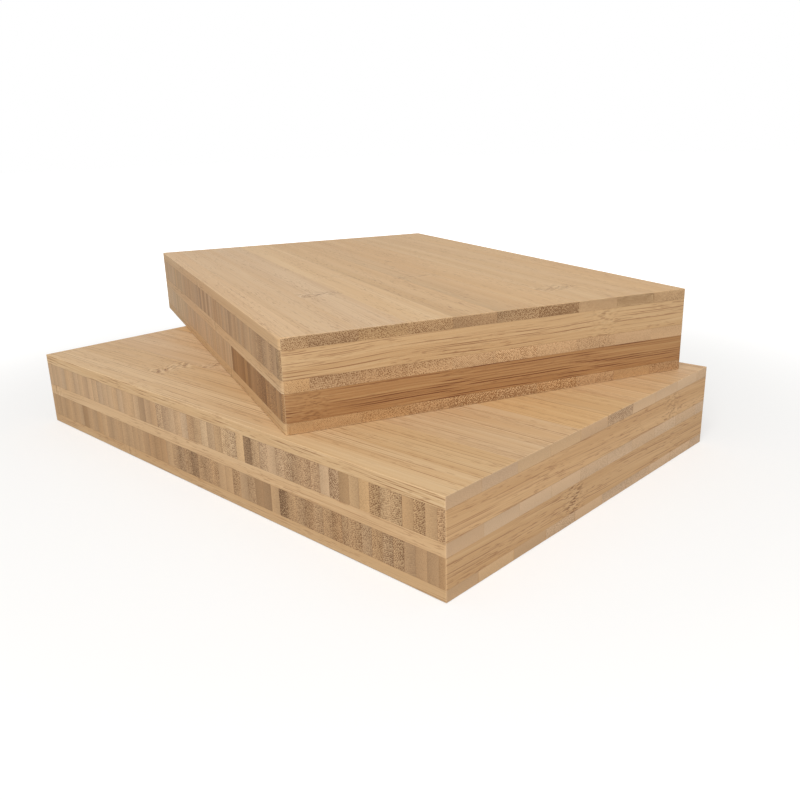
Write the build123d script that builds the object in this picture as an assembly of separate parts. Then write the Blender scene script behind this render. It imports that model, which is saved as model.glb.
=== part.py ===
from build123d import *
import os

# Stack of two strip bamboo plywood boards, in millimetres, Z up.
# The origin is the middle of the lower board's underside.
# The lower board's length lies along X and its width along Y.

# Size of one board, both alike
BOARD_LENGTH = 300.0
BOARD_WIDTH = 200.0

# Thickness of the plies that make up one board
FACE_PLY = 5.0
CROSS_PLY = 12.3
MIDDLE_PLY = 5.4

# Strips: laid flat in the face and middle plies, stood on edge in the cross plies
FLAT_STRIP_WIDTH = 21.1
EDGE_STRIP_WIDTH = 5.3
GLUE_LINE = 0.1

# A remnant narrower than this breaks off the sheet at the saw
SAW_SLIVER = 1.5

# Edge broken off by hand after sawing
ARRIS = 0.4

# Where the upper board lies on the lower one
UPPER_SHIFT_X = -35.4
UPPER_SHIFT_Y = 52.4
UPPER_TURN = -22.6

# Plies from the bottom up: name, thickness, strip width, and whether they cross the length
PLIES = (
    ("bottom_ply", FACE_PLY, FLAT_STRIP_WIDTH, False),
    ("lower_cross_ply", CROSS_PLY, EDGE_STRIP_WIDTH, True),
    ("middle_ply", MIDDLE_PLY, FLAT_STRIP_WIDTH, False),
    ("upper_cross_ply", CROSS_PLY, EDGE_STRIP_WIDTH, True),
    ("top_ply", FACE_PLY, FLAT_STRIP_WIDTH, False),
)
FACE_PLIES = ("bottom_ply", "top_ply")
BOARD_THICKNESS = sum(thickness for name, thickness, width, crosses in PLIES)

# Width left on each ply's first strip where the saw cut the sheet, from the bottom up
LOWER_BOARD_CUTS = (17.5, 5.2, 20.5, 4.7, 19.2)
UPPER_BOARD_CUTS = (11.8, 3.5, 11.2, 2.4, 11.6)


def strip_spans(extent, strip_width, first_width):
    """Near and far side of each strip across a ply, centred on zero.

    The first strip keeps the width that the saw left, whole strips follow one glue
    line apart, and the last one ends at the board's far edge.
    """
    spans = [(0.0, first_width)]
    while spans[-1][1] + GLUE_LINE + SAW_SLIVER < extent:
        near = spans[-1][1] + GLUE_LINE
        spans.append((near, near + strip_width))
    spans[-1] = (spans[-1][0], extent)
    return [(near - extent / 2, far - extent / 2) for near, far in spans]


def strip(near, far, bottom, thickness, crosses):
    """One strip of bamboo, as long as the board in its own direction."""
    middle = (near + far) / 2
    height = bottom + thickness / 2
    if crosses:
        return Pos(middle, 0, height) * Box(far - near, BOARD_WIDTH, thickness)
    return Pos(0, middle, height) * Box(BOARD_LENGTH, far - near, thickness)


def ply(bottom, thickness, strip_width, crosses, first_width):
    """All the strips of one ply, side by side with a glue line between them."""
    extent = BOARD_LENGTH if crosses else BOARD_WIDTH
    spans = strip_spans(extent, strip_width, first_width)
    return [strip(near, far, bottom, thickness, crosses) for near, far in spans]


def board_blank():
    """The outside of a sawn board, with its edges broken."""
    blank = Box(
        BOARD_LENGTH,
        BOARD_WIDTH,
        BOARD_THICKNESS,
        align=(Align.CENTER, Align.CENTER, Align.MIN),
    )
    return chamfer(blank.edges(), ARRIS)


def break_edges(name, strips, blank):
    """Trim the strips that reach the board's outer edges to the eased blank.

    Those are all the strips of a face ply, and the first and last of any other ply.
    """
    for number, piece in enumerate(strips):
        outermost = number in (0, len(strips) - 1)
        if outermost or name in FACE_PLIES:
            strips[number] = (piece & blank).solid()
    return strips


def board_plies(cuts):
    """Each ply of one board, by name, as a list of its strips."""
    blank = board_blank()
    plies = {}
    bottom = 0.0
    for (name, thickness, strip_width, crosses), first_width in zip(PLIES, cuts):
        strips = ply(bottom, thickness, strip_width, crosses, first_width)
        plies[name] = break_edges(name, strips, blank)
        bottom += thickness
    return plies


def write_board(board_name, cuts, place):
    """Write one STEP file for each ply of a board that lies at the given place."""
    for ply_name, strips in board_plies(cuts).items():
        node = Compound([place * piece for piece in strips])
        export_step(node, f"parts/{board_name}_{ply_name}.step")
        print(board_name, ply_name, "strips:", len(strips))


on_the_floor = Pos(0, 0, 0)
on_the_lower_board = Pos(UPPER_SHIFT_X, UPPER_SHIFT_Y, BOARD_THICKNESS) * Rot(0, 0, UPPER_TURN)

os.makedirs("parts", exist_ok=True)
write_board("lower_board", LOWER_BOARD_CUTS, on_the_floor)
write_board("upper_board", UPPER_BOARD_CUTS, on_the_lower_board)
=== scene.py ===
# %% [markdown]
# Two thick boards of bamboo plywood lie one on the other, the upper one turned askew. Each is
# five plies of glued bamboo strips: flat strips in the two faces and the middle, and strips
# stood on edge, running crosswise, between them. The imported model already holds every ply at
# its real size, so this lesson leaves all sizes alone. It reads where the strips lie and dresses
# them with eased edges, fibres, knuckles, glue lines and the tone of each strip.

import bpy
import numpy as np
from mathutils import Matrix, Vector


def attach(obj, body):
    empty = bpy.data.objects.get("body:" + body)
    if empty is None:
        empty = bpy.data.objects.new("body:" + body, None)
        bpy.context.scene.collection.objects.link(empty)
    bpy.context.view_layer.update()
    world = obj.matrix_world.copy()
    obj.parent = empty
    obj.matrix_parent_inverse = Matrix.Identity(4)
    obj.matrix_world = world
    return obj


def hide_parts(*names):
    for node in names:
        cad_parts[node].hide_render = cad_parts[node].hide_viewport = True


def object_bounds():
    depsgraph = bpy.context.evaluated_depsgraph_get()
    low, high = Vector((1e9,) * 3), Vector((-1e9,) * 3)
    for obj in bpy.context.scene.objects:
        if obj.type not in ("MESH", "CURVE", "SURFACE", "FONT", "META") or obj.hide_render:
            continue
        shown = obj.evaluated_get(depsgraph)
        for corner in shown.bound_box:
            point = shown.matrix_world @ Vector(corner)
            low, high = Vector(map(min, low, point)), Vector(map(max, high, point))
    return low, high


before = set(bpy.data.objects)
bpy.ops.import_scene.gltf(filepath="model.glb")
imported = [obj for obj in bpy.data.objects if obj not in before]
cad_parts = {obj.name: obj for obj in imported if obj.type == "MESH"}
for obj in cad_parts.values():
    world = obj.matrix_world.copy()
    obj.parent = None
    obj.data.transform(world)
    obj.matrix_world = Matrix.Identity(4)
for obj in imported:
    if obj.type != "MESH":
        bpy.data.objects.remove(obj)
cad_low, cad_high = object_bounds()
MM = 0.001
print("nodes:", len(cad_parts), "height in mm:", round((cad_high - cad_low).z / MM, 1))

# %% [markdown]
# The camera comes first, because every later choice is judged through it. It stands where the
# picture was taken from: in front of the lower board's near corner, about eighteen degrees
# above the floor. A new camera looks straight down, so it is tipped up from there, then turned
# to face the boards. A small roll is left in, because the picture was taken by hand.

# %% Place the camera
CAMERA_PLACE = (0.30594, -0.28141, 0.15054)
CAMERA_AZIMUTH = 44.0
CAMERA_ELEVATION = 17.864
CAMERA_ROLL = -1.652
CAMERA_LENS = 36.115
CAMERA_SENSOR = 36.0
STRAIGHT_DOWN = 90.0

pose = Matrix.Translation(CAMERA_PLACE)
for degrees, axis in ((CAMERA_AZIMUTH, "Z"), (STRAIGHT_DOWN - CAMERA_ELEVATION, "X"), (CAMERA_ROLL, "Z")):
    pose = pose @ Matrix.Rotation(np.radians(degrees), 4, axis)
camera = bpy.data.objects.new("camera", bpy.data.cameras.new("camera"))
camera.data.lens = CAMERA_LENS
camera.data.sensor_width = CAMERA_SENSOR
camera.matrix_world = pose
bpy.context.scene.collection.objects.link(camera)
bpy.context.scene.camera = camera
bpy.context.scene.view_settings.view_transform = "Standard"
print("camera is", round(float(np.linalg.norm(CAMERA_PLACE)) / MM), "mm from the stack's foot")

# %% [markdown]
# Colours are picked as the hex values that a screen shows, and Blender computes in linear
# light, so one function turns the first into the second. A second function adds a shader node:
# it sets what is given as a value, links what is given as a socket, and hands back one output,
# so that the next node can be linked to it in the same way.

# %% Colours and shader nodes
SRGB_TOE = 0.04045
SRGB_TOE_SLOPE = 12.92
SRGB_OFFSET = 0.055
SRGB_POWER = 2.4


def linear(hex_colour):
    """Linear RGBA of an sRGB hex colour: a straight line near black, a power curve above it."""
    level = np.frombuffer(bytes.fromhex(hex_colour.lstrip("#")), np.uint8) / 255
    curve = ((level + SRGB_OFFSET) / (1 + SRGB_OFFSET)) ** SRGB_POWER
    return (*np.where(level <= SRGB_TOE, level / SRGB_TOE_SLOPE, curve).tolist(), 1.0)


def add(tree, kind, result=None, sockets=(), **settings):
    """Add one shader node and return one of its outputs, the first if none is named.

    kind is the node's type without the ShaderNode that every such type starts with.
    sockets holds the inputs, as a dictionary of their identifiers or as a row in the node's own
    order. A socket given for one is linked to it, and any other value is set on it.
    """
    made = tree.nodes.new(f"ShaderNode{kind}")
    for name, value in settings.items():
        setattr(made, name, value)
    inputs = {socket.identifier: socket for socket in made.inputs}
    given = sockets if isinstance(sockets, dict) else dict(zip(inputs, sockets))
    for name, value in given.items():
        if isinstance(value, bpy.types.NodeSocket):
            tree.links.new(value, inputs[name])
        else:
            inputs[name].default_value = value
    outputs = {socket.identifier: socket for socket in made.outputs}
    return outputs[result] if result else made.outputs[0] if outputs else made


def empty_material(name):
    """A new material with no nodes, and its node tree."""
    material = bpy.data.materials.new(name)
    material.use_nodes = True
    material.node_tree.nodes.clear()
    return material, material.node_tree


print("pith colour in linear light:", [round(x, 3) for x in linear("#D8B98C")])

# %% [markdown]
# The stage is the white sweep of a studio. The world is plain white for the camera and for
# reflections, and dimmer where it only lights the boards. The floor is light grey paper, a hair
# below the boards. To the camera it glows a little, which lifts it towards the white of the
# background, and the boards' shadow stays as the light that is blocked. Further out the glow
# grows, until the floor is white and has no horizon.

# %% Lay out the white sweep
WORLD_LIGHT = 0.48
FLOOR_HALF_SIDE = 6.0
FLOOR_GREY = "#CBCAC8"
FLOOR_GLOW = 0.375
FADE_START = 0.2
FADE_END = 0.65
FLOOR_GAP = 0.05 * MM


def light_world(strength):
    """White for camera, glossy and transmission rays, and white at the given strength elsewhere."""
    world = bpy.data.worlds.new("white_studio")
    bpy.context.scene.world = world
    world.use_nodes = True
    tree = world.node_tree
    tree.nodes.clear()
    seen = add(tree, "LightPath", "Is Camera Ray")
    rays = seen.node.outputs
    for ray in ("Is Glossy Ray", "Is Transmission Ray"):
        seen = add(tree, "Math", operation="MAXIMUM", sockets=(seen, rays[ray]))
    level = add(tree, "MapRange", sockets=(seen, 0.0, 1.0, strength, 1.0))
    glow = add(tree, "Background", sockets=(linear("#FFFFFF"), level))
    add(tree, "OutputWorld", sockets=(glow,))


def floor_material():
    """Matte paper, with a glow that only the camera sees and that grows with the distance."""
    material, tree = empty_material("white_paper_sweep")
    seen = add(tree, "LightPath", "Is Camera Ray")
    place = add(tree, "TexCoord", "Object")
    distance = add(tree, "VectorMath", "Value", operation="LENGTH", sockets=(place,))
    glow = add(tree, "MapRange", interpolation_type="SMOOTHSTEP",
               sockets=(distance, FADE_START, FADE_END, FLOOR_GLOW, 1.0))
    level = add(tree, "Math", operation="MULTIPLY", sockets=(seen, glow))
    paper = add(tree, "BsdfDiffuse", sockets=(linear(FLOOR_GREY),))
    shine = add(tree, "Emission", sockets=(linear("#FFFFFF"), level))
    both = add(tree, "AddShader", sockets=(paper, shine))
    add(tree, "OutputMaterial", sockets=(both,))
    return material


light_world(WORLD_LIGHT)
corners = FLOOR_HALF_SIDE * np.array([(-1, -1, 0), (1, -1, 0), (1, 1, 0), (-1, 1, 0)])
floor_mesh = bpy.data.meshes.new("floor")
floor_mesh.from_pydata((corners + (0, 0, cad_low.z - FLOOR_GAP)).tolist(), [], [(0, 1, 2, 3)])
floor_mesh.materials.append(floor_material())
floor = bpy.data.objects.new("floor", floor_mesh)
bpy.context.scene.collection.objects.link(floor)
print("floor fades to white from", FADE_START, "to", FADE_END, "m")

# %% [markdown]
# One soft box stands to the right of the camera, so that the tops are brightest, the right-hand
# sides come next and the left-hand sides are darkest. It is large, so its shadows are soft.

# %% Hang the soft box
SOFT_BOX_PLACE = (0.87, -1.16, 1.25)
SOFT_BOX_AIM = (0, 0, 0.04)
SOFT_BOX_SIDE = 1.3
SOFT_BOX_WATTS = 30

lamp = bpy.data.lights.new("key_soft_box", "AREA")
lamp.shape = "SQUARE"
lamp.size = SOFT_BOX_SIDE
lamp.energy = SOFT_BOX_WATTS
soft_box = bpy.data.objects.new("key_soft_box", lamp)
soft_box.location = SOFT_BOX_PLACE
back = Vector(SOFT_BOX_PLACE) - Vector(SOFT_BOX_AIM)
soft_box.rotation_euler = back.to_track_quat("Z", "Y").to_euler()
soft_box.visible_camera = False
bpy.context.scene.collection.objects.link(soft_box)
print("the soft box hangs", round(back.length, 2), "m from the boards")

# %% [markdown]
# Before anything is made, the frame is asked how the boards lie. Each board is worked on in its
# own millimetres, with its length along x, its width along y and its underside at zero, and is
# turned into place at the very end. The turn is read from the way that the upright walls face.

# %% Find how each board lies
PLY_NAMES = ("bottom_ply", "lower_cross_ply", "middle_ply", "upper_cross_ply", "top_ply")
CROSS_PLIES = ("lower_cross_ply", "upper_cross_ply")
UPRIGHT = 0.1
WALLS_TO_A_TURN = 4


def node_points(node):
    """The vertices of a CAD node as rows of x, y, z in millimetres."""
    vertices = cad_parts[node].data.vertices
    points = np.empty(len(vertices) * 3, np.float32)
    vertices.foreach_get("co", points)
    return points.reshape(-1, 3).astype(float) / MM


def wall_turn(node):
    """Turn of a node about Z, in radians, from its upright walls.

    Walls a quarter turn apart have the same cosine and sine of four times their angle, so the
    angle of the mean of those, weighted by area, is four times the turn.
    """
    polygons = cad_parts[node].data.polygons
    normals = np.empty(len(polygons) * 3, np.float32)
    polygons.foreach_get("normal", normals)
    areas = np.empty(len(polygons), np.float32)
    polygons.foreach_get("area", areas)
    normals = normals.reshape(-1, 3)
    weight = areas * (np.abs(normals[:, 2]) < UPRIGHT)
    angle = WALLS_TO_A_TURN * np.arctan2(normals[:, 1], normals[:, 0])
    return np.arctan2(weight @ np.sin(angle), weight @ np.cos(angle)) / WALLS_TO_A_TURN


def turned(points, angle):
    """Points turned about Z by an angle."""
    x, y, z = points.T
    return np.column_stack([x * np.cos(angle) - y * np.sin(angle),
                            x * np.sin(angle) + y * np.cos(angle),
                            z])


def board_place(board):
    """The turn of a board and the middle of its underside, in millimetres."""
    angle = wall_turn(f"{board}_middle_ply")
    points = np.vstack([turned(node_points(f"{board}_{ply}"), -angle) for ply in PLY_NAMES])
    low, high = points.min(axis=0), points.max(axis=0)
    middle = np.array([(low[0] + high[0]) / 2, (low[1] + high[1]) / 2, low[2]])
    return {"name": board, "turn": angle, "foot": turned(middle[None], angle)[0],
            "size": high - low}


boards = [board_place("lower_board"), board_place("upper_board")]
for board in boards:
    print(board["name"], board["size"].round(2), "turn", round(float(np.degrees(board["turn"])), 2))

# %% [markdown]
# A strip's own directions are along its fibres, across the ply, and up. In a flat ply those are
# the board's x, y and z. In a cross ply they are turned by a quarter. The joints between strips
# are read from the frame as well: where two corners of a ply lie only a glue line apart, one
# strip ends and the next begins. The glue fills that gap, so each strip is drawn out to the
# middle of its glue lines, and the joint is a shallow groove between two eased edges.

# %% Read the strips of each ply
WIDEST_GLUE_LINE = 0.25
NARROWEST_GLUE_LINE = 0.03


def along_strip(points, board, crosses):
    """Points of the frame as along, across and up of the strips in one ply of a board."""
    x, y, z = turned(points - board["foot"], -board["turn"]).T
    return np.column_stack([-y, x, z] if crosses else [x, y, z])


def from_strip(points, board, crosses):
    """The way back: along, across and up of a strip as points of the frame."""
    along, across, up = points.T
    flat = np.column_stack([across, -along, up] if crosses else [along, across, up])
    return turned(flat, board["turn"]) + board["foot"]


def ply_strips(board, ply):
    """Name, kind and corners of a ply, and the near and far side of each strip across it."""
    crosses = ply in CROSS_PLIES
    name = f"{board['name']}_{ply}"
    points = along_strip(node_points(name), board, crosses)
    places = np.unique(points[:, 1].round(2))
    gaps = np.diff(places)
    joints = np.flatnonzero((gaps > NARROWEST_GLUE_LINE) & (gaps < WIDEST_GLUE_LINE))
    middles = (places[joints] + places[joints + 1]) / 2
    sides = np.concatenate([places[:1], middles, places[-1:]])
    return {"name": name, "board": board, "ply": ply, "crosses": crosses,
            "kind": "edge" if crosses else "flat", "sides": sides,
            "low": points.min(axis=0), "high": points.max(axis=0)}


plies = [ply_strips(board, ply) for board in boards for ply in PLY_NAMES]
for ply in plies[:len(PLY_NAMES)]:
    print(ply["name"], "strips:", len(ply["sides"]) - 1, "first is",
          round(float(ply["sides"][1] - ply["sides"][0]), 2), "mm wide")

# %% [markdown]
# A strip is a surface of two parameters: where along the fibres, and where round its section.
# The section is half a profile and its mirror image, so that both ends can be closed by plain
# quads between mirrored points. Grid lines crowd together near every edge, where the shape
# bends, and lie well apart on the flats.

# %% Lay a grid round a strip
EDGE_LINES = np.array([0.0, 0.05, 0.16, 0.34, 0.56, 0.76])
WORN_LINES = np.array([0.0, 0.05, 0.16, 0.34, 0.6, 0.95, 1.4, 1.9, 2.4])
FLAT_STATION = 5.5
EDGE_STATION = 26.0
COLUMN = 3.2


def grid_lines(low, high, step, edge_lines):
    """Places from low to high: the edge lines at both ends, and even steps between them."""
    first, last = low + edge_lines[-1], high - edge_lines[-1]
    count = max(2, int(round((last - first) / step)) + 1)
    between = np.linspace(first, last, count)[1:-1]
    return np.concatenate([low + edge_lines, between, high - edge_lines[::-1]])


def half_profile(near, far, top, edge_lines):
    """Across and up of the upper half of a section: up one side, over the top and down."""
    over = grid_lines(near, far, COLUMN, edge_lines)
    climb = top - edge_lines[:0:-1]
    across = np.concatenate([np.full(len(climb), near), over, np.full(len(climb), far)])
    up = np.concatenate([climb, np.full(len(over), top), climb[::-1]])
    return across, up


def strip_grid(low, high, station, edge_lines):
    """Grid points of a strip before its edges are eased: stations by profile points by three."""
    across, up = half_profile(low[1], high[1], high[2], edge_lines)
    across = np.concatenate([across, across[::-1]])
    up = np.concatenate([up, (low[2] + high[2] - up)[::-1]])
    along = grid_lines(low[0], high[0], station, edge_lines)
    grid = np.empty((len(along), len(across), 3))
    grid[..., 0] = along[:, None]
    grid[..., 1] = across
    grid[..., 2] = up
    return grid


def strip_box(ply, number):
    """Low and high corner of one strip, drawn out to the middle of its glue lines."""
    low, high = ply["low"].copy(), ply["high"].copy()
    low[1], high[1] = ply["sides"][number:number + 2]
    return low, high


sample = strip_grid(*strip_box(plies[0], 1), FLAT_STATION, EDGE_LINES)
print("a flat strip has", sample.shape[0], "stations of", sample.shape[1], "profile points")

# %% [markdown]
# The quads are counted out from the places of their corners in the grid. Each also remembers
# which side of the strip it belongs to, because an end shows dots where a side shows lines.

# %% Close the strip with quads
LOW_SIDE, TOP, HIGH_SIDE, BOTTOM, LOW_END, HIGH_END = range(6)


def strip_faces(stations, profile, climb):
    """Quads of a closed strip, and the side of the strip that each belongs to.

    Walls join a station to the next and a profile point to the next. An end joins each pair of
    profile points in the upper half to the mirrored pair in the lower half. climb is the number
    of profile points on a side before the top begins.
    """
    i, j = np.meshgrid(np.arange(stations - 1), np.arange(profile), indexing="ij")
    k = (j + 1) % profile
    walls = np.stack([i * profile + j, (i + 1) * profile + j,
                      (i + 1) * profile + k, i * profile + k], axis=-1).reshape(-1, 4)
    half = profile // 2
    round_section = np.full(profile, LOW_SIDE)
    round_section[climb:half - 1 - climb] = TOP
    round_section[half - 1 - climb:half + climb] = HIGH_SIDE
    round_section[half + climb:profile - 1 - climb] = BOTTOM
    wall_sides = np.tile(round_section, stations - 1)
    j = np.arange(half - 1)
    mirrored = profile - 1 - j
    low_end = np.stack([j, j + 1, mirrored - 1, mirrored], axis=-1)
    high_end = low_end[:, ::-1] + (stations - 1) * profile
    sides = np.concatenate([wall_sides, np.full(len(j), LOW_END), np.full(len(j), HIGH_END)])
    return np.vstack([walls, low_end, high_end]), sides


sample_quads, _ = strip_faces(*sample.shape[:2], len(EDGE_LINES) - 1)
print("one flat strip has", 2 * len(sample_quads), "triangles")

# %% [markdown]
# Nobody leaves a sawn edge sharp: a stroke of sandpaper breaks it, and handling rounds it a
# little more here and there. An edge is a corner in a plane of two directions. A circle is laid
# into that corner, and every grid point outside the circle is drawn straight back to it, so
# nothing ever grows.

# %% Ease one edge
WEAR_LENGTHS = (7.0, 19.0, 43.0, 97.0)
WEAR_SHARE = 0.15
TINY = 1e-9


def wear(place, seed):
    """Wear along an edge, about -1 to 1: waves of several lengths with seeded phases."""
    phases = np.random.default_rng(seed).uniform(0, 2 * np.pi, len(WEAR_LENGTHS))
    waves = [np.sin(2 * np.pi * place / length + phase)
             for length, phase in zip(WEAR_LENGTHS, phases)]
    return np.mean(waves, axis=0)


def ease_edge(grid, first, second, corner, inward, radius):
    """Draw the grid points near one edge back to a circle of the given radius.

    In the plane of two axes, a point's distances from the corner are taken inwards. The circle
    touches both sides. A point nearer to the corner than the circle moves along the line to
    the circle's centre until it lies on it.
    """
    depth_first = (grid[..., first] - corner[0]) * inward[0]
    depth_second = (grid[..., second] - corner[1]) * inward[1]
    reach_first = np.maximum(radius - depth_first, 0)
    reach_second = np.maximum(radius - depth_second, 0)
    reach = np.maximum(np.hypot(reach_first, reach_second), TINY)
    pull = np.minimum(radius / reach, 1)
    outside = (reach_first > 0) & (reach_second > 0)
    grid[..., first] += np.where(outside, inward[0] * reach_first * (1 - pull), 0)
    grid[..., second] += np.where(outside, inward[1] * reach_second * (1 - pull), 0)


print("wear of an edge at 0, 50 and 100 mm:", wear(np.array([0.0, 50.0, 100.0]), 1).round(2))

# %% [markdown]
# A strip has twelve edges. The ones on the board's outline are rounded, most of all below, where
# the board is set down, and where only a glue joint meets the surface the edge is eased far
# less. One corner of the upper board has been knocked, at its foot and at its top. So its
# upright edge is rounder, and near each knock the circles of all three edges grow.

# %% Ease a strip
UPRIGHT_ARRIS = 0.6
LYING_ARRIS = 0.35
UNDER_ARRIS = 0.7
WORN_ARRIS = 2.6
JOINT_EASING = 0.05
KNOCKED_BOARD = "upper_board"
KNOCKS = (((150.0, -100.0, 0.0), 1.2), ((150.0, -100.0, 40.0), 1.5))
KNOCKED_REACH = 5.0
TOUCHING = 0.1


def knocks_on(ply, low, high):
    """Places along, across and up of the knocks on a strip's upright edge, and their radii."""
    knocks = []
    for (x, y, z), radius in KNOCKS:
        place = np.array([-y, x, z] if ply["crosses"] else [x, y, z])
        apart = np.minimum(np.abs(place - low), np.abs(place - high))[:2]
        if ply["board"]["name"] == KNOCKED_BOARD and apart.max() < TOUCHING:
            knocks.append((place, radius))
    return knocks


def ease_strip(grid, low, high, outer, seed, knocks):
    """Ease the twelve edges of a strip whose box runs from low to high.

    outer says for each direction whether the low and the high side lie on the outside of the
    board. An edge between two such sides is an arris, and any other edge is a joint. Towards
    a knocked corner the radius of an arris and that of the knock add up as two sides of a
    right angle do, which blends one into the other.
    """
    knock = 0.0
    for place, radius in knocks:
        distance = np.linalg.norm(grid - place, axis=-1)
        knock = knock + radius * np.exp(-(distance / KNOCKED_REACH) ** 2)
    for first, second, third in ((1, 2, 0), (0, 2, 1), (0, 1, 2)):
        for end_first, end_second in ((0, 0), (0, 1), (1, 0), (1, 1)):
            corner = ((low, high)[end_first][first], (low, high)[end_second][second])
            inward = (1 - 2 * end_first, 1 - 2 * end_second)
            radius = JOINT_EASING
            if outer[first][end_first] and outer[second][end_second]:
                arris = UPRIGHT_ARRIS if third == 2 else (UNDER_ARRIS, LYING_ARRIS)[end_second]
                if third == 2 and knocks and np.allclose(corner, knocks[0][0][:2], atol=TOUCHING):
                    arris = WORN_ARRIS
                edge_seed = (seed, first, second, end_first, end_second)
                worn = 1 + WEAR_SHARE * wear(grid[..., third], edge_seed)
                radius = np.hypot(arris * worn, knock)
            ease_edge(grid, first, second, corner, inward, radius)
    return grid


print("strips with knocks:", sum(
    len(knocks_on(ply, *strip_box(ply, number))) > 0
    for ply in plies for number in range(len(ply["sides"]) - 1)))

# %% [markdown]
# Bamboo is a bundle of fibres, so its pattern belongs to the stalk and not to the surface: a
# dot on the end of a strip is the same fibre that shows as a line on its side. Each strip
# therefore carries its own fibre coordinates in every vertex: two across the stalk and one along
# it. Each strip is cut from another place of another stalk, which a seeded shift and turn give,
# and its fibres run a little out of line with the saw cut.

# %% Choose what each strip is like
NO_KNUCKLE = 900.0
KNUCKLE_SPACING = 290.0
STALK_SHIFT = 400.0
TONE_SPREAD = {"flat": 0.014, "edge": 0.03}
WARMTH_SPREAD = {"flat": 0.01, "edge": 0.015}
SLOPE = {"flat": 0.008, "edge": 0.02}
FIGURE = {"flat": (0.7, 0.5, 0.4), "edge": (0.8, 0.6, 0.8)}
BLUE_TO_RED = 2
STALK_TURNS = (0.3, 1.2)
FIGURE_RANGE = (0.75, 1.2)
KNUCKLE_STRENGTHS = (0.3, 0.9)
JOINT_STRENGTHS = (0.15, 1.0)
FURTHEST_DRAW = 2
SAMPLE_SEED = 7


def spread_draws(rng, spread, count):
    """Draws round zero with a standard spread, the furthest ones pulled in to twice it."""
    return spread * rng.standard_normal(count).clip(-FURTHEST_DRAW, FURTHEST_DRAW)


def choose_strips(ply, rng):
    """Seeded traits of the strips of a ply, one row for each strip.

    The stain multiplies red, green and blue. The slope is the drift of the fibres across the
    strip for each millimetre along it. The figure is the strength of dots, streaks and lines.
    """
    count = len(ply["sides"]) - 1
    kind = ply["kind"]
    length = ply["high"][0] - ply["low"][0]
    knuckle = rng.uniform(-KNUCKLE_SPACING / 2, KNUCKLE_SPACING / 2, count)
    tone = 1 + spread_draws(rng, TONE_SPREAD[kind], count)
    warmth = spread_draws(rng, WARMTH_SPREAD[kind], count)
    return {
        "shift": rng.uniform(0, STALK_SHIFT, (count, 3)),
        "turn": rng.uniform(*STALK_TURNS, count),
        "skin_side": rng.choice([-1, 1], count),
        "stain": tone[:, None] * np.column_stack([1 + warmth, np.ones(count), 1 - BLUE_TO_RED * warmth]),
        "end_stain": np.ones((count, 3)),
        "side_stain": np.ones((count, 3)),
        "shaded_side": np.zeros(count),
        "slope": spread_draws(rng, SLOPE[kind], count),
        "figure": FIGURE[kind] * rng.uniform(*FIGURE_RANGE, (count, 3)),
        "knuckle": np.where(np.abs(knuckle) < length / 2, knuckle, NO_KNUCKLE),
        "knuckle_strength": rng.uniform(*KNUCKLE_STRENGTHS, count),
        "joint": rng.uniform(*JOINT_STRENGTHS, count),
    }


rng = np.random.default_rng(SAMPLE_SEED)
print("stain of the first strips:", choose_strips(plies[4], rng)["stain"][:3].round(2).tolist())

# %% [markdown]
# A knuckle is the ring where a leaf grew. Its place along the strip is stored as a distance, as
# that stays exact however far apart the vertices are. The distances to the sides are stored for
# the same reason: the shader finds glue lines and worn edges from them. A side that doesn't
# count for one of the two is put far away.

# %% Store the traits at every vertex
FAR = 50.0


def strip_traits(ply, traits, number, grid, low, high, outer):
    """Per-vertex values of one strip, from its grid before the edges are eased."""
    points = grid.reshape(-1, 3)
    along, across, up = (points - (low + high) / 2).T
    round_stalk, from_hollow = (up, across) if ply["crosses"] else (across, up)
    from_hollow = from_hollow * traits["skin_side"][number]
    thickness = (high - low)[1 if ply["crosses"] else 2]
    drifted = round_stalk + traits["slope"][number] * along
    cosine, sine = np.cos(traits["turn"][number]), np.sin(traits["turn"][number])
    section = [drifted * cosine - from_hollow * sine, drifted * sine + from_hollow * cosine]
    count = len(points)
    glued_far, open_far = FAR * np.array(outer), FAR * ~np.array(outer)
    from_end, from_side, _ = ((points - low) / (high - low)).T
    depth = traits["shaded_side"][number] * from_end * (1 - from_side) ** 2
    return {
        "grain": np.column_stack([*section, along]) + traits["shift"][number],
        "figure": np.tile(traits["figure"][number], (count, 1)),
        "glue_low": points - low + glued_far[:, 0],
        "glue_high": high - points + glued_far[:, 1],
        "open_low": points - low + open_far[:, 0],
        "open_high": high - points + open_far[:, 1],
        "skin": from_hollow / thickness + 0.5,
        "knuckle": along - traits["knuckle"][number],
        "knuckle_strength": np.full(count, traits["knuckle_strength"][number]),
        "joint": np.full(count, traits["joint"][number]),
        "shade": 1 - depth,
    }


print("fibres drift by", FURTHEST_DRAW * SLOPE["edge"], "mm at most for each mm along a strip")
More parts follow.
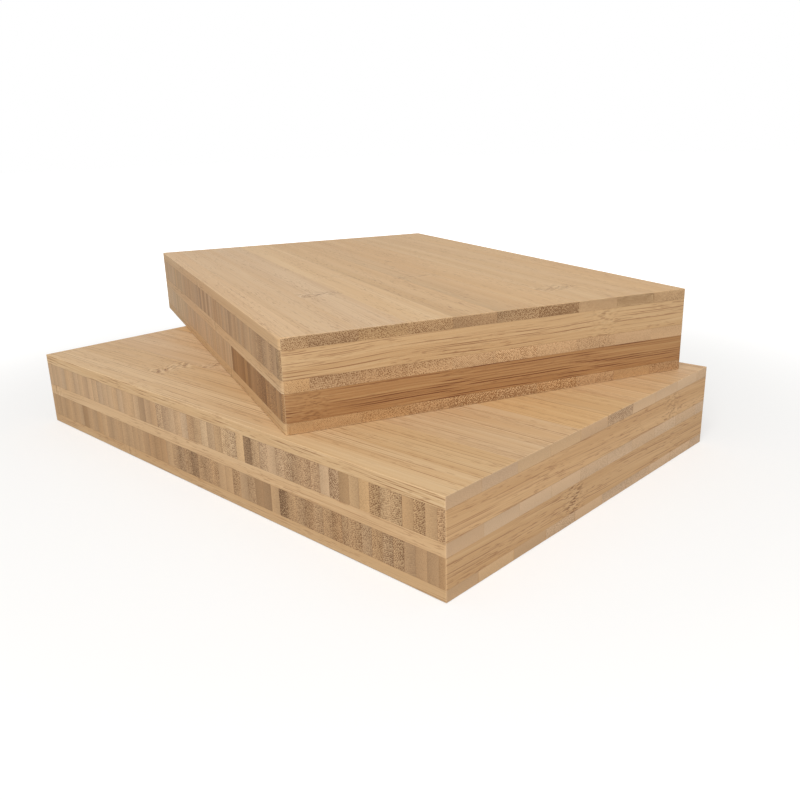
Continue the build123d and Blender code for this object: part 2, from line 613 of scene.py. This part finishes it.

# %% [markdown]
# Some plies and strips in the picture stand out: nearly black ones in a row of brown ones, a
# pale one, a lined face, a knuckle on a side that shows. Each gets a word for its tone, and a
# word for how much the fibres show as dots on its ends. A tone multiplies red, green and blue.
# Caramel strips come from bamboo that was steamed for longer, which turns its sugar brown.
# ashen is painted light: it lifts and greys the far end of the upper board's cross plies
# as a haze of distance. faded is a real paler tone on some strips, and next to that far
# end it paints the same haze more weakly.

# %% Name the tones
# ashen is a painted haze of distance, and faded is partly a paler tone and partly that painted haze.
STAINS = {
    "plain": (1.0, 1.0, 1.0), "black": (0.56, 0.53, 0.50), "dark": (0.76, 0.73, 0.70),
    "dim": (0.91, 0.88, 0.85), "muted": (0.87, 0.83, 0.76), "pale": (1.07, 1.08, 1.09),
    "bright": (1.14, 1.15, 1.16), "caramel": (0.685, 0.56, 0.415), "tan": (0.88, 0.82, 0.72),
    "brown": (0.74, 0.69, 0.59), "russet": (0.82, 0.73, 0.60), "golden": (0.905, 0.862, 0.785),
    "honeyed": (0.99, 0.96, 0.87), "amber": (0.965, 0.92, 0.82), "faded": (1.04, 1.06, 1.05),
    "ashen": (1.12, 1.17, 1.24), "wheat": (0.95, 0.95, 0.90)}
DOT_SHARES = {"smooth": 0.3, "fine": 0.5, "dotted": 1.12, "speckled": 2.2}
print("tones:", len(STAINS), "from", min(STAINS.values())[0], "to", max(STAINS.values())[0])

# %% [markdown]
# The strips that stand out are listed ply by ply, and everything else stays with the seeded
# choice. A place is given in millimetres across the ply from its low side, and a knuckle also
# by its place along the strip from the board's middle and by its strength. stain holds for a
# whole strip, end_stain and side_stain for one kind of face, and ply_ before one of them means
# every strip of the ply. figure is the strength of dots, streaks and lines, slope is the drift
# of the fibres, and shaded_side darkens one side of a face towards its far end.

# %% Name the strips that stand out
STAND_OUTS = {
    "lower_board_bottom_ply": {
        "ply_side_stain": "golden", "ply_figure": (0.45, 0.6, 0.6),
        "end_stain": {"tan": (8, 50), "honeyed": (28,), "pale": (160, 180)},
        "dots": {"smooth": (8, 28, 50, 90)}},
    "lower_board_lower_cross_ply": {
        "ply_end_stain": "muted",
        "stain": {"dark": (40, 148, 197, 202, 213), "dim": (105, 110, 116, 121, 229, 248),
                  "pale": (62, 128, 170, 175, 208, 218)},
        "end_stain": {"dim": (283, 288, 294, 299)},
        "dots": {"smooth": (*range(2, 132, 5), 170, 175, 186, 197, 202, 208, 283, 288, 294, 299),
                 "dotted": (229,), "speckled": (213,)},
        "figure": {299: (0.2, 0.8, 0.65)}, "slope": {299: -0.03}, "knuckles": ((299, 21, 1.0),)},
    "lower_board_middle_ply": {
        "ply_figure": (0.3, 0.6, 0.6), "end_stain": {"dim": (10,), "pale": (160,)},
        "dots": {"smooth": (10, 30, 50, 70)}},
    "lower_board_upper_cross_ply": {
        "stain": {
            "black": (190,), "dark": (104, 251), "pale": (98, 142, 158, 175, 180, 185, 240, 261),
            "dim": (44, 110, 115, 126, 148, 153, 164, 169, 196, 223, 228, 234, 245, 266, 283, 288, 294)},
        "end_stain": {"dim": (299,), "faded": (153, 159, 164, 169, 175, 180, 186, 196),
                      "honeyed": (250, 256, 261, 267, 272, 277, 283, 288, 294)},
        "dots": {"smooth": (*range(2, 122, 5), 185, 208, 240, 251, 256, 261, 283, 294),
                 "fine": range(127, 172, 5), "dotted": (223, 228, 234, 266, 288)},
        "figure": {299: (0.8, 0.7, 0.55)}, "slope": {299: -0.035}, "knuckles": ((299, -64, 0.5),)},
    "lower_board_top_ply": {
        "ply_figure": (0.4, 0.7, 1.1),
        "end_stain": {"dim": (8, 30, 94, 114), "amber": (50, 72), "pale": (180,)},
        "side_stain": {"faded": (9,), "honeyed": (30, 94, 115)},
        "dots": {"smooth": (8, 30, 50, 72, 94, 140, 160, 180), "speckled": (114,)},
        "slope": {9: -0.025, 30: -0.03, 50: -0.03, 72: -0.015},
        "knuckles": ((30, -65, 1.5), (50, -52, 1.1))},
    "upper_board_bottom_ply": {
        "ply_end_stain": "russet", "ply_side_stain": "honeyed", "ply_figure": (0.9, 0.6, 0.8),
        "end_stain": {"amber": (6, 22, 43, 170), "pale": (86, 107, 128), "dim": (190,)},
        "dots": {"smooth": (6,), "fine": (22, 170), "dotted": (64, 149), "speckled": (86, 107, 128)}},
    "upper_board_lower_cross_ply": {
        "stain": {"dark": (211, 232, 244, 271), "dim": (108, 190, 217, 227, 254, 265),
                  "bright": (281,), "pale": (20, 41, 60, 237, 276), "caramel": range(209, 300, 5)},
        "end_stain": {
            # The far end of the upper board: a painted haze of distance, strongest at the end and weaker
            # further in.
            "ashen": (2, 6, 12, 17, 22, 28, 33, 39), "faded": (44, 49, 55, 60, 66, 71, 76),
            "honeyed": (211, 217, 222, 228, 233, 239, 244), "pale": (286, 292, 297)},
        "dots": {"smooth": (*range(2, 262, 5), 294), "dotted": (271,)},
        "figure": {299: (0.8, 1.0, 1.5)}, "slope": {299: 0.0}, "knuckles": ((299, 88, 0.5),)},
    "upper_board_middle_ply": {
        "ply_end_stain": "tan", "ply_figure": (0.85, 0.6, 0.8),
        "end_stain": {"amber": (5,), "pale": (106, 127), "dim": (21, 43)},
        "dots": {"fine": (5, 128), "smooth": (170, 190)}},
    "upper_board_upper_cross_ply": {
        "ply_end_stain": "dim",
        "stain": {"dark": (134, 145, 156, 211), "dim": (172, 178, 222, 237, 259, 268, 290),
                  "wheat": (299,), "pale": (38, 44, 139, 150, 162, 248)},
        # The far end of the upper board: a painted haze of distance, strongest at the end and weaker
        # further in.
        "end_stain": {"ashen": (1, 5, 11, 16, 21, 27, 32, 38), "faded": (43, 48, 54, 59, 65, 70, 75)},
        "dots": {"smooth": (*range(2, 260, 5), 283, 294)},
        "slope": {299: 0.02}, "knuckles": ((299, -54, 0.5),)},
    "upper_board_top_ply": {
        "ply_end_stain": "brown", "ply_figure": (1.0, 0.5, 0.35),
        "end_stain": {"dim": (15, 86, 130), "honeyed": (43,), "faded": (170,), "pale": (150, 190)},
        "side_stain": {"faded": (64,), "amber": (86, 107, 128), "honeyed": (150, 170, 192)},
        "dots": {"fine": (86, 150, 190), "dotted": (107, 170), "speckled": (128,)},
        "shaded_side": {107: 0.18, 86: 0.13},
        "knuckles": ((43, 68, 1.1), (6, -20, 0.4), (150, 115, 0.9), (107, 45, 0.6), (64, 20, 0.4))},
}


def strip_at(ply, place):
    """Number of the strip that lies at a place, in mm from the low end of the ply's width."""
    return int(np.searchsorted(ply["sides"], ply["sides"][0] + place) - 1)


def name_strips(ply, traits):
    """Give the named plies and strips their stain, figure, lean and knuckles."""
    named = STAND_OUTS[ply["name"]]
    for trait in ("stain", "end_stain", "side_stain"):
        for stain, places in named.get(trait, {}).items():
            for number in {strip_at(ply, place) for place in places}:
                traits[trait][number] *= STAINS[stain]
        traits[trait] *= STAINS[named.get(f"ply_{trait}", "plain")]
    if "ply_figure" in named:
        traits["figure"] *= np.array(named["ply_figure"]) / FIGURE[ply["kind"]]
    for look, places in named["dots"].items():
        for number in {strip_at(ply, place) for place in places}:
            traits["figure"][number, 0] *= DOT_SHARES[look]
    for trait in ("figure", "shaded_side", "slope"):
        for place, value in named.get(trait, {}).items():
            traits[trait][strip_at(ply, place)] = value
    if "knuckles" in named and ply["kind"] == "flat":
        traits["knuckle"][:] = NO_KNUCKLE
    for place, along, strength in named.get("knuckles", ()):
        number = strip_at(ply, place)
        traits["knuckle"][number] = along
        traits["knuckle_strength"][number] = strength


print("knuckles placed:", sum(len(named.get("knuckles", ())) for named in STAND_OUTS.values()))

# %% [markdown]
# The mesh brings a map that says where each face lies in an image wrapped round it. It is
# stacked in shelves. The faces that show
# get nearly all of it, and the glued ones, which nobody sees, share a narrow shelf. The
# materials here never read this map.

# %% Stack the shelves of the map
MAP_MARGIN = 0.004


def shelves(heights):
    """Bottom and top of each named shelf of the map, stacked in order to fill it."""
    total = sum(heights.values())
    places, bottom = {}, 0.0
    for name, height in heights.items():
        top = bottom + height / total
        places[name] = (bottom + MAP_MARGIN, top - MAP_MARGIN)
        bottom = top
    return places


FACE_PLY_SHELVES = shelves({"face": 74, "back": 6, "glued": 4, "low_side": 4, "high_side": 4,
                            "low_end": 4, "high_end": 4})
MIDDLE_PLY_SHELVES = shelves({"face": 6, "back": 6, "glued": 4, "low_side": 21, "high_side": 21,
                              "low_end": 21, "high_end": 21})
CROSS_PLY_SHELVES = shelves({"glued": 18, "low_side": 11, "high_side": 11,
                             "low_end": 30, "high_end": 30})
for name, room in FACE_PLY_SHELVES.items():
    print(name, [round(x, 3) for x in room])

# %% [markdown]
# Each side of a strip is laid flat by leaving out the direction that it looks in, and fills a
# room on a shelf. Faces keep their true places in the ply, so their rooms lie side by side. The
# ends of the many strips on edge are set out in rows, and hidden sides get a narrow column each.

# %% Give each side its room
END_ROWS = 3
INSET = 0.04
WALLS = (LOW_SIDE, TOP, HIGH_SIDE, BOTTOM)
FLAT_AXES = {LOW_SIDE: (0, 2), HIGH_SIDE: (0, 2), TOP: (0, 1), BOTTOM: (0, 1),
             LOW_END: (1, 2), HIGH_END: (1, 2)}


def spread(values, span, room):
    """Values of a span as places in a room."""
    return room[0] + (values - span[0]) / (span[1] - span[0]) * (room[1] - room[0])


def inset(room):
    """A room without a small share of it at both ends."""
    edge = INSET * (room[1] - room[0])
    return room[0] + edge, room[1] - edge


def side_rooms(ply, number, box):
    """For each side of a strip, the two rooms that it fills in the map and the two spans it covers."""
    count = len(ply["sides"]) - 1
    length, width, height = ((ply["low"][axis], ply["high"][axis]) for axis in range(3))
    whole = (MAP_MARGIN, 1 - MAP_MARGIN)
    rooms = {}
    if ply["crosses"]:
        shelf = CROSS_PLY_SHELVES
        columns = -(-count // END_ROWS)
        row, column = number // columns, number % columns
        cell = inset((column / columns, (column + 1) / columns))
        for side, name in ((LOW_END, "low_end"), (HIGH_END, "high_end")):
            bottom, top = shelf[name]
            step = (top - bottom) / END_ROWS
            rooms[side] = (cell, inset((bottom + row * step, bottom + (row + 1) * step)),
                           (box[0][1], box[1][1]), height)
        hidden = [TOP, BOTTOM]
    else:
        shelf = FACE_PLY_SHELVES if ply["ply"] != "middle_ply" else MIDDLE_PLY_SHELVES
        for side, name in ((LOW_END, "low_end"), (HIGH_END, "high_end")):
            rooms[side] = (whole, shelf[name], width, height)
        face, back = (BOTTOM, TOP) if ply["ply"] == "bottom_ply" else (TOP, BOTTOM)
        rooms[face] = (whole, shelf["face"], length, width)
        rooms[back] = (whole, shelf["back"], length, width)
        hidden = []
    for side, name, outermost in ((LOW_SIDE, "low_side", 0), (HIGH_SIDE, "high_side", count - 1)):
        if number == outermost:
            rooms[side] = (whole, shelf[name], length, height)
        else:
            hidden.append(side)
    slots = len(WALLS) * count
    for side in hidden:
        place = number * len(WALLS) + WALLS.index(side)
        strip_column = inset((place / slots, (place + 1) / slots))
        rooms[side] = (shelf["glued"], strip_column, length,
                       (box[0][FLAT_AXES[side][1]], box[1][FLAT_AXES[side][1]]))
    return rooms, hidden


def map_corners(ply, number, box, points, quads, sides):
    """Place in the map of each corner of each quad, as rows of u and v."""
    rooms, hidden = side_rooms(ply, number, box)
    uv = np.empty((len(quads), 4, 2))
    for side, (room_u, room_v, span_u, span_v) in rooms.items():
        chosen = sides == side
        axis_u, axis_v = FLAT_AXES[side]
        corners = points[quads[chosen]]
        first = spread(corners[..., axis_u], span_u, room_u)
        second = spread(corners[..., axis_v], span_v, room_v)
        flat = [second, first] if side in hidden else [first, second]
        uv[chosen] = np.stack(flat, axis=-1)
    return uv.reshape(-1, 2)


print("rooms of a strip in a face ply:", len(side_rooms(plies[0], 1, strip_box(plies[0], 1))[0]))

# %% [markdown]
# Strip bamboo is split from the stalk, planed square, boiled or steamed, dried, glued and
# pressed, and the board is sanded and left without a finish. So it is pale, matte, and only a
# little shinier than paper. Two things give it its look. Dark bundles of fibre stand in a paler
# pith, close together near the skin and further apart near the hollow. And each strip has taken
# the steam a little differently.
#
# Nearly every pattern is noise in fibre coordinates, long along the stalk and narrow across it.
# It has a length and a width in millimetres and two levels of noise between which it fades in.

# %% Lay patterns along the fibres
NOISE_DETAIL = 1.0
STREAKS = ((130.0, 0.9), 0.38, 0.72)
BANDS = ((220.0, 6.0), 0.30, 0.70)
ZONES = ((45.0, 5.0), 0.36, 0.60)
BREAKS = ((38.0, 1.6), 0.32, 0.54)
FLECKS = ((6.0, 0.5), 0.58, 0.68)


def noise_along(tree, grain, size, result=None, detail=NOISE_DETAIL):
    """Noise from 0 to 1 in fibre coordinates, with a length along the stalk and a width."""
    length, width = size
    stretched = add(tree, "VectorMath", operation="MULTIPLY",
                    sockets=(grain, (1 / width, 1 / width, 1 / length)))
    return add(tree, "TexNoise", result,
               sockets={"Vector": stretched, "Scale": 1.0, "Detail": detail})


def patches(tree, grain, size, low, high):
    """1 where noise of the given size rises above high, and 0 where it stays under low."""
    return add(tree, "MapRange", interpolation_type="SMOOTHSTEP",
               sockets=(noise_along(tree, grain, size), low, high))


def fade_out(tree, distance, reach, strength=1.0):
    """The strength at no distance, falling smoothly to 0 at the reach."""
    return add(tree, "MapRange", interpolation_type="SMOOTHSTEP",
               sockets=(distance, 0.0, reach, strength, 0.0))


def product(tree, first, *others):
    """All the given masks and amounts multiplied together."""
    for other in others:
        first = add(tree, "Math", operation="MULTIPLY", sockets=(first, other))
    return first


def shifted(tree, grain, size, amount):
    """Fibre coordinates pushed across the stalk by up to the amount, from noise made -1 to 1."""
    centred = add(tree, "VectorMath", operation="MULTIPLY_ADD", sockets=(
        noise_along(tree, grain, size, "Color"), (2.0, 2.0, 0.0), (-1.0, -1.0, 0.0)))
    push = add(tree, "VectorMath", operation="SCALE",
               sockets={"Vector": centred, "Scale": amount})
    return add(tree, "VectorMath", operation="ADD", sockets=(push, grain))


def tinted(tree, colour, hex_colour, *masks):
    """Colour blended with another one by the product of masks and amounts."""
    share = add(tree, "Math", operation="MINIMUM", sockets=(product(tree, *masks), 1.0))
    return add(tree, "Mix", "Result_Color", data_type="RGBA", sockets={
        "Factor_Float": share, "A_Color": colour, "B_Color": linear(hex_colour)})


print("a streak is", round(STREAKS[0][0] / STREAKS[0][1]), "times as long as wide")

# %% [markdown]
# Three marks sit at a distance from something, and the strip's stored distances say how far it
# is. A knuckle's ring wobbles as it runs round the stalk. A glue line is a thin darker seam
# beside the nearest glued side. And the outer edges are painted a little paler: partly the
# rubbing of sandpaper and hands, and partly a painted highlight along the edge.

# %% Find knuckles, glue lines, and worn edges with a painted highlight
WOBBLE_SIZE = (14.0, 4.0)
WOBBLE_DETAIL = 2.0
KNUCKLE_WOBBLE = 5.0
SEAM_REACH = 0.35
# How far the pale outer edge reaches: partly rubbing, partly a painted highlight.
WORN_AND_HIGHLIGHT_REACH = 0.7


def knuckle_distance(tree, grain):
    """Distance to the knuckle's ring, which wobbles as it runs round the stalk."""
    place = add(tree, "Attribute", "Fac", attribute_name="knuckle")
    noise = noise_along(tree, grain, WOBBLE_SIZE, detail=WOBBLE_DETAIL)
    wobble = add(tree, "Math", operation="MULTIPLY_ADD",
                 sockets=(noise, 2 * KNUCKLE_WOBBLE, -KNUCKLE_WOBBLE))
    distance = add(tree, "Math", operation="ADD", sockets=(place, wobble))
    return add(tree, "Math", operation="ABSOLUTE", sockets=(distance,))


def nearest_sides(tree, kind):
    """Distance to the nearer of two opposite sides, glued or open, in each direction."""
    both = [add(tree, "Attribute", "Vector", attribute_name=f"{kind}_{end}")
            for end in ("low", "high")]
    nearer = add(tree, "VectorMath", operation="MINIMUM", sockets=both)
    split = add(tree, "SeparateXYZ", sockets=(nearer,))
    return [split.node.outputs[axis] for axis in "XYZ"]


def seam_mask(tree):
    """1 on a glue line, fading out beside it: the nearest glued side counts."""
    x, y, z = nearest_sides(tree, "glue")
    least = add(tree, "Math", operation="MINIMUM", sockets=(x, y))
    least = add(tree, "Math", operation="MINIMUM", sockets=(least, z))
    return product(tree, fade_out(tree, least, SEAM_REACH),
                   add(tree, "Attribute", "Fac", attribute_name="joint"))


def worn_and_highlight_mask(tree):
    """1 on an outer edge, fading out beside it, where the edge is painted pale as wear and as a painted
    highlight.

    A point of a face lies in one open side and near a second one, so the second smallest of the
    three distances counts: the larger of min(x, y) and min(max(x, y), z).
    """
    x, y, z = nearest_sides(tree, "open")
    small = add(tree, "Math", operation="MINIMUM", sockets=(x, y))
    large = add(tree, "Math", operation="MAXIMUM", sockets=(x, y))
    large = add(tree, "Math", operation="MINIMUM", sockets=(large, z))
    second = add(tree, "Math", operation="MAXIMUM", sockets=(small, large))
    return fade_out(tree, second, WORN_AND_HIGHLIGHT_REACH)


print("a glue line shades", SEAM_REACH, "mm on both sides, and an edge is rubbed for", WORN_AND_HIGHLIGHT_REACH)

# %% [markdown]
# The bundles of fibre are a flat cell pattern in the section of the stalk, the same all along it
# but for a slow wander. On an end each cell is a dot. On a side only the cells whose middle lies
# close to the cut show, as thin lines. Real bundles are 0.4 to 0.8 mm apart near the skin, and
# 0.7 mm here, because finer ones would be lost in the picture.

# %% Find the bundles of fibre
BUNDLE_PITCH = 0.7
BUNDLE_RANDOMNESS = 0.5
BUNDLE_CORE = 0.08
DARK_CELLS = (0.25, 0.75)
PITH_CELLS = (0.40, 0.72)
DOT_VARIETY = (0.4, 1.6)


def bundle_masks(tree, grain, skin, look):
    """Masks of the dots, the lines and the pith between them, and how dark each dot is.

    A dot reaches from the middle of a cell to a radius that grows towards the skin. A line is
    a cell's middle, in the cells that chance makes dark.
    """
    cells = add(tree, "TexVoronoi", "Distance", voronoi_dimensions="2D", feature="F1", sockets={
        "Vector": grain, "Scale": 1 / BUNDLE_PITCH, "Randomness": BUNDLE_RANDOMNESS})
    radius = add(tree, "MapRange", sockets=(skin, 0.0, 1.0, look["dot_hollow"], look["dot_skin"]))
    dot = add(tree, "MapRange", interpolation_type="SMOOTHSTEP",
              sockets=(cells, BUNDLE_CORE, radius, 1.0, 0.0))
    chance = add(tree, "SeparateXYZ", sockets=(cells.node.outputs["Color"],))
    varied = add(tree, "MapRange", sockets=(chance, 0.0, 1.0, *DOT_VARIETY))
    dark, pith = (add(tree, "MapRange", interpolation_type="SMOOTHSTEP", sockets=levels)
                  for levels in ((chance, *DARK_CELLS), (cells, *PITH_CELLS)))
    line = product(tree, fade_out(tree, cells, look["line_reach"]), dark)
    return dot, line, pith, varied


print("bundles across a flat strip:", round(float(np.diff(plies[0]["sides"])[1]) / BUNDLE_PITCH))

# %% [markdown]
# A piece of stalk carries all of this at once, so the colours are laid one over the other, each
# through its own masks: first the even tones, then dots on the ends and lines on the sides, then
# the knuckle. The stain of the strip multiplies them all. The bundles stand a few hundredths of
# a millimetre proud, because the pith between them is softer under the sandpaper.

# %% Mix the bamboo
WANDER_SIZE = (80.0, 25.0)
CURL_SIZE = (5.0, 4.0)
CURL_MM = 1.4
KNUCKLE_CURL = 15.0
KNUCKLE_RING = 0.7
KNUCKLE_CLEAR = 4.0
KNUCKLE_CORE = 12.0
FAINTEST_ZONE = 0.7
SPECKLES = (0.52, 0.62)
GLINTS = (0.48, 0.36)
STREAK_RELIEF = 0.6
BUMP_STRENGTH = 0.5
BUMP_HEIGHT = 0.04 * MM
DOT_POLISH = 0.08
BAMBOO_IOR = 1.45


def sanded_surface(tree, colour, dot, streak, look):
    """Matte surface of a colour, with a low relief and a little more polish on the bundles."""
    relief = add(tree, "Math", operation="MULTIPLY_ADD", sockets=(streak, STREAK_RELIEF, dot))
    normal = add(tree, "Bump", sockets={
        "Height": relief, "Strength": BUMP_STRENGTH, "Distance": BUMP_HEIGHT})
    roughness = add(tree, "MapRange",
                    sockets=(dot, 0.0, 1.0, look["roughness"], look["roughness"] - DOT_POLISH))
    return add(tree, "BsdfPrincipled", sockets={
        "Base Color": colour, "Roughness": roughness, "IOR": BAMBOO_IOR, "Normal": normal})


def bamboo(name, look):
    """Sanded, unfinished strip bamboo. look gives the colours and how strong each trait is."""
    material, tree = empty_material(name)
    grain, figure, stain = (add(tree, "Attribute", "Vector", attribute_name=trait)
                            for trait in ("grain", "figure", "stain"))
    end, skin, strength, shade = (add(tree, "Attribute", "Fac", attribute_name=trait)
                                  for trait in ("end_grain", "skin", "knuckle_strength", "shade"))
    side = add(tree, "Math", operation="SUBTRACT", sockets=(1.0, end))
    dots, streaks, lines = add(tree, "SeparateXYZ", sockets=(figure,)).node.outputs

    # Fibres wander along the whole strip and curl where they pass a knuckle.
    ring = knuckle_distance(tree, grain)
    calm = shifted(tree, grain, WANDER_SIZE, look["wander"])
    curl = fade_out(tree, ring, KNUCKLE_CURL, CURL_MM)
    curled = shifted(tree, calm, CURL_SIZE, product(tree, curl, strength))
    dot, line, pith, varied = bundle_masks(tree, curled, skin, look)

    # Wide noise makes zones and bands, and narrow noise makes streaks, flecks and breaks.
    zone, broken, band, streak = (patches(tree, calm, *kind) for kind in (ZONES, BREAKS, BANDS, STREAKS))
    fleck = patches(tree, curled, *FLECKS)
    zoned = add(tree, "MapRange", sockets=(zone, 0.0, 1.0, FAINTEST_ZONE, 1.0))

    # A knuckle is a dark ring among dark and pale speckles, and lines stop short of it.
    away = add(tree, "MapRange", interpolation_type="SMOOTHSTEP",
               sockets=(ring, KNUCKLE_CLEAR, KNUCKLE_CORE))
    core = fade_out(tree, ring, KNUCKLE_CORE)
    rim = fade_out(tree, ring, KNUCKLE_RING)
    speckle, glint = (patches(tree, calm, look["speckle_size"], *levels) for levels in (SPECKLES, GLINTS))

    colour = add(tree, "Mix", "Result_Color", data_type="RGBA", sockets={
        "Factor_Float": band, "A_Color": linear(look["pith"]), "B_Color": linear(look["honey"])})
    for tint, *masks in (
            ("end", end),
            ("pale", pith, end, dots, look["gaps"]),
            ("pale", pith, broken, side, lines, look["gaps"]),
            ("dot", dot, end, dots, zoned, varied, look["dots"]),
            ("line", dot, side, streaks, look["soft_lines"]),
            ("line", streak, side, streaks, look["streaks"]),
            ("line", line, away, broken, side, lines, look["lines"]),
            ("line", fleck, zone, side, look["flecks"]),
            ("pale", core, glint, side, strength, look["knuckle_pale"]),
            ("knuckle", core, speckle, side, strength, look["knuckle_speckle"]),
            ("knuckle", rim, broken, side, strength, look["knuckle_ring"])):
        colour = tinted(tree, colour, look[tint], *masks)

    # Ends are darker towards the skin. Every strip has its own stain, and outer edges are painted pale,
    # partly as rubbing and partly as a painted highlight.
    centred = add(tree, "Math", operation="SUBTRACT", sockets=(skin, 0.5))
    end_shade = add(tree, "Math", operation="MULTIPLY_ADD",
                    sockets=(product(tree, centred, end), -look["skin_shade"], 1.0))
    stain = add(tree, "VectorMath", operation="SCALE",
                sockets={"Vector": stain, "Scale": product(tree, end_shade, shade)})
    colour = add(tree, "VectorMath", operation="MULTIPLY", sockets=(colour, stain))
    colour = tinted(tree, colour, look["glue"], seam_mask(tree), look["glue_strength"])
    colour = tinted(tree, colour, look["pale"], worn_and_highlight_mask(tree), look["rubbed_and_highlighted"])
    add(tree, "OutputMaterial", sockets=(sanded_surface(tree, colour, dot, streak, look),))
    return material


print("a knuckle reaches", KNUCKLE_CORE, "mm to both sides, and its fibres curl for", KNUCKLE_CURL)

# %% [markdown]
# A strip that lies flat shows the broad face of the stalk's wall, pale and finely lined. A strip
# on edge shows the thickness of the wall, from the dense skin to the hollow, so its lines and
# its dots are stronger and its tone is a little browner. The two are one material with two looks.

# %% Make the two kinds of bamboo
FLAT_LOOK = {
    "pith": "#D1AF85", "honey": "#CBA67A", "end": "#CEAD89", "dot": "#8C6641", "line": "#85552F",
    "pale": "#DCC19C", "knuckle": "#7A4E2B", "glue": "#8A6642",
    "dot_hollow": 0.55, "dot_skin": 0.68, "dots": 1.08, "line_reach": 0.42, "lines": 0.95,
    "soft_lines": 0.08, "streaks": 0.14, "flecks": 0.45, "skin_shade": 0.08, "wander": 0.5,
    "gaps": 0.35, "knuckle_pale": 0.5, "knuckle_speckle": 0.5, "knuckle_ring": 0.7,
    # rubbed_and_highlighted: how strongly outer edges are painted pale, as wear and as a painted
    # highlight.
    "speckle_size": (1.2, 2.6), "glue_strength": 0.18, "rubbed_and_highlighted": 0.12, "roughness": 0.62}
EDGE_LOOK = {
    "pith": "#CDA87D", "honey": "#C39C70", "end": "#C2A07A", "dot": "#7D5938", "line": "#7E4C2C",
    "pale": "#D6B88F", "knuckle": "#6E4426", "glue": "#7A5636",
    "dot_hollow": 0.55, "dot_skin": 0.70, "dots": 1.15, "line_reach": 0.48, "lines": 1.0,
    "soft_lines": 0.10, "streaks": 0.11, "flecks": 0.45, "skin_shade": 0.16, "wander": 1.6,
    "gaps": 0.45, "knuckle_pale": 0.45, "knuckle_speckle": 0.75, "knuckle_ring": 0.15,
    # rubbed_and_highlighted: how strongly outer edges are painted pale, as wear and as a painted
    # highlight.
    "speckle_size": (3.0, 0.7), "glue_strength": 0.45, "rubbed_and_highlighted": 0.25, "roughness": 0.66}
BAMBOO = {"flat": bamboo("flat_pressed_bamboo", FLAT_LOOK),
          "edge": bamboo("edge_pressed_bamboo", EDGE_LOOK)}
print("nodes in a bamboo material:", len(BAMBOO["flat"].node_tree.nodes))

# %% [markdown]
# Now everything comes together for one strip: its points, its quads, its traits and its places
# in the map. The stain is stored on the faces, because the end of a strip may have another one
# than its sides.

# %% Build a strip
def build_strip(ply, number, traits):
    """Points, quads, end marks, stains, map places and vertex values of one strip."""
    low, high = strip_box(ply, number)
    last = len(ply["sides"]) - 2
    outer = [(True, True), (number == 0, number == last),
             (ply["ply"] == "bottom_ply", ply["ply"] == "top_ply")]
    knocks = knocks_on(ply, low, high)
    edge_lines = WORN_LINES if knocks else EDGE_LINES
    grid = strip_grid(low, high, EDGE_STATION if ply["crosses"] else FLAT_STATION, edge_lines)
    values = strip_traits(ply, traits, number, grid, low, high, outer)
    ease_strip(grid, low, high, outer, number, knocks)
    points = grid.reshape(-1, 3)
    quads, sides = strip_faces(*grid.shape[:2], len(edge_lines) - 1)
    uv = map_corners(ply, number, (low, high), points, quads, sides)
    ends = np.isin(sides, (LOW_END, HIGH_END))
    stains = np.where(ends[:, None], traits["end_stain"][number], traits["side_stain"][number])
    stains = stains * traits["stain"][number]
    return points, quads, ends, stains, uv, values


rng = np.random.default_rng(SAMPLE_SEED)
print("points of one strip:", len(build_strip(plies[0], 1, choose_strips(plies[0], rng))[0]))

# %% [markdown]
# At last the arrays of a ply's strips are joined end to end, so that one mesh is one ply. The
# eased edges are shaded smooth, and each ply says which packed one it stands for.

# %% Join the strips into plies
SMOOTH_UNDER_DEGREES = 40
VECTOR_TRAITS = ("grain", "figure", "glue_low", "glue_high", "open_low", "open_high")
VALUE_TRAITS = ("skin", "knuckle", "knuckle_strength", "joint", "shade")
BUILD_SEED = 20


def set_attribute(mesh, name, kind, domain, field, values):
    """Store an array as an attribute of a mesh."""
    layer = mesh.attributes.new(name, kind, domain)
    layer.data.foreach_set(field, np.ascontiguousarray(values, np.float32).ravel())


def build_ply(ply, rng):
    """One ply as a Blender object, with the traits of its strips in its attributes."""
    traits = choose_strips(ply, rng)
    name_strips(ply, traits)
    strips = [build_strip(ply, number, traits) for number in range(len(ply["sides"]) - 1)]
    counts = np.cumsum([0] + [len(strip[0]) for strip in strips])
    points, _, ends, stains, uv, _ = (np.concatenate(part) if isinstance(part[0], np.ndarray) else part
                                      for part in zip(*strips))
    quads = np.vstack([strip[1] + first for strip, first in zip(strips, counts)])
    values = {key: np.concatenate([strip[-1][key] for strip in strips]) for key in strips[0][-1]}
    placed = from_strip(points, ply["board"], ply["crosses"]) * MM

    name = ply["name"]
    mesh = bpy.data.meshes.new(f"{name}_strips")
    mesh.from_pydata(placed, [], quads)
    mesh.shade_smooth()
    mesh.set_sharp_from_angle(angle=np.radians(SMOOTH_UNDER_DEGREES))
    for key in VECTOR_TRAITS:
        set_attribute(mesh, key, "FLOAT_VECTOR", "POINT", "vector", values[key])
    for key in VALUE_TRAITS:
        set_attribute(mesh, key, "FLOAT", "POINT", "value", values[key])
    set_attribute(mesh, "end_grain", "FLOAT", "FACE", "value", ends)
    set_attribute(mesh, "stain", "FLOAT_VECTOR", "FACE", "vector", stains)
    uv_layer = mesh.uv_layers.new(name="OFBake")
    uv_layer.data.foreach_set("uv", uv.astype(np.float32).ravel())
    mesh.materials.append(BAMBOO[ply["kind"]])
    piece = bpy.data.objects.new(f"{name}_strips", mesh)
    bpy.context.scene.collection.objects.link(piece)
    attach(piece, "root")
    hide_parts(name)
    return piece


rng = np.random.default_rng(BUILD_SEED)
for ply in plies:
    piece = build_ply(ply, rng)
    print(piece.name, "triangles:", 2 * len(piece.data.polygons))
